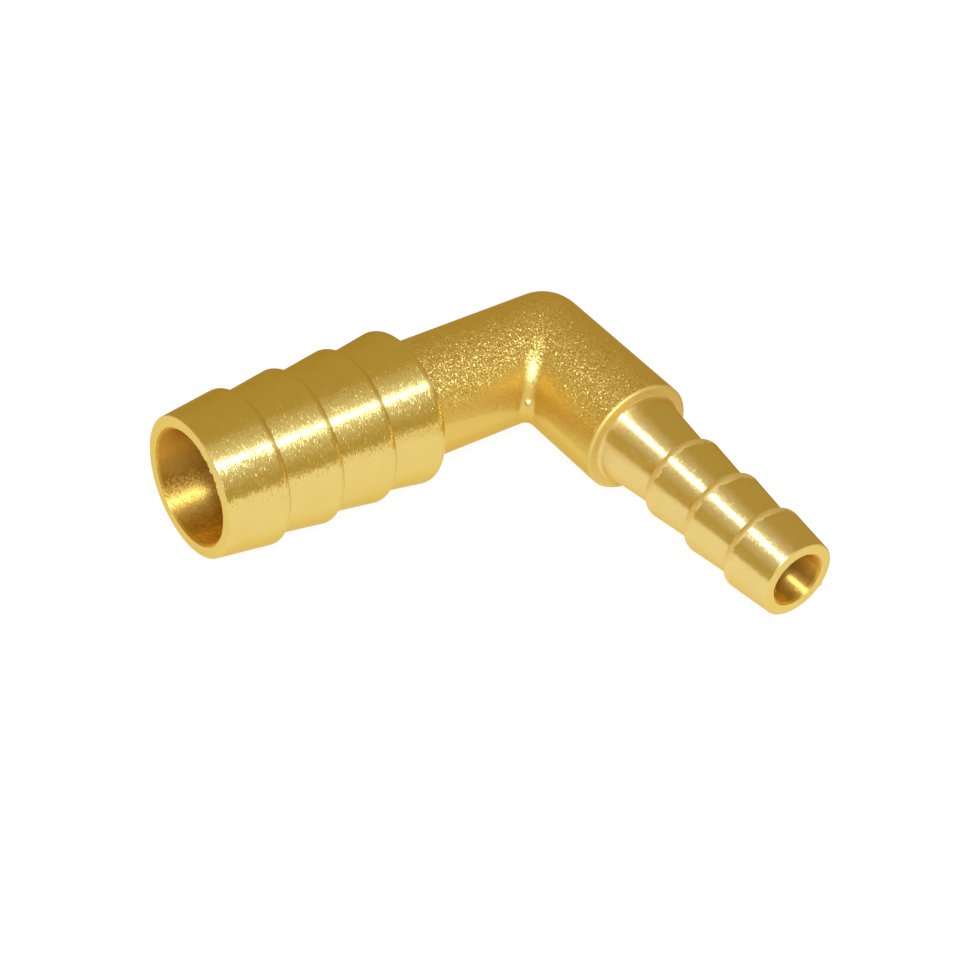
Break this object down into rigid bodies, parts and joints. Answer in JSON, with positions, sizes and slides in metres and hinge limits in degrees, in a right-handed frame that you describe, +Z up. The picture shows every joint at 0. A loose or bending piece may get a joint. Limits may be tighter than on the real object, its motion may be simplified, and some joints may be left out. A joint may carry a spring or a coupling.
{
  "type": "hose barb elbow",
  "caption": "Forged brass elbow with a large barbed hose end and a smaller one at a right angle, bored through to join two hoses of unlike size.",
  "frame": {"origin": "on the floor below the middle of the part's box, with the part lying as it comes to rest", "axes": "+Z up; the large hose end runs towards -Y and rises 2.5 degrees to its mouth; the small one runs towards +X and falls 4.3 degrees to its mouth"},
  "size_m": [0.0614, 0.0614, 0.0213],
  "materials": {
    "brass": "hose ends turned bright, body left as forged and blasted"
  },
  "bodies": {
    "root": {"elbow": "brass"}
  },
  "joints": []
}
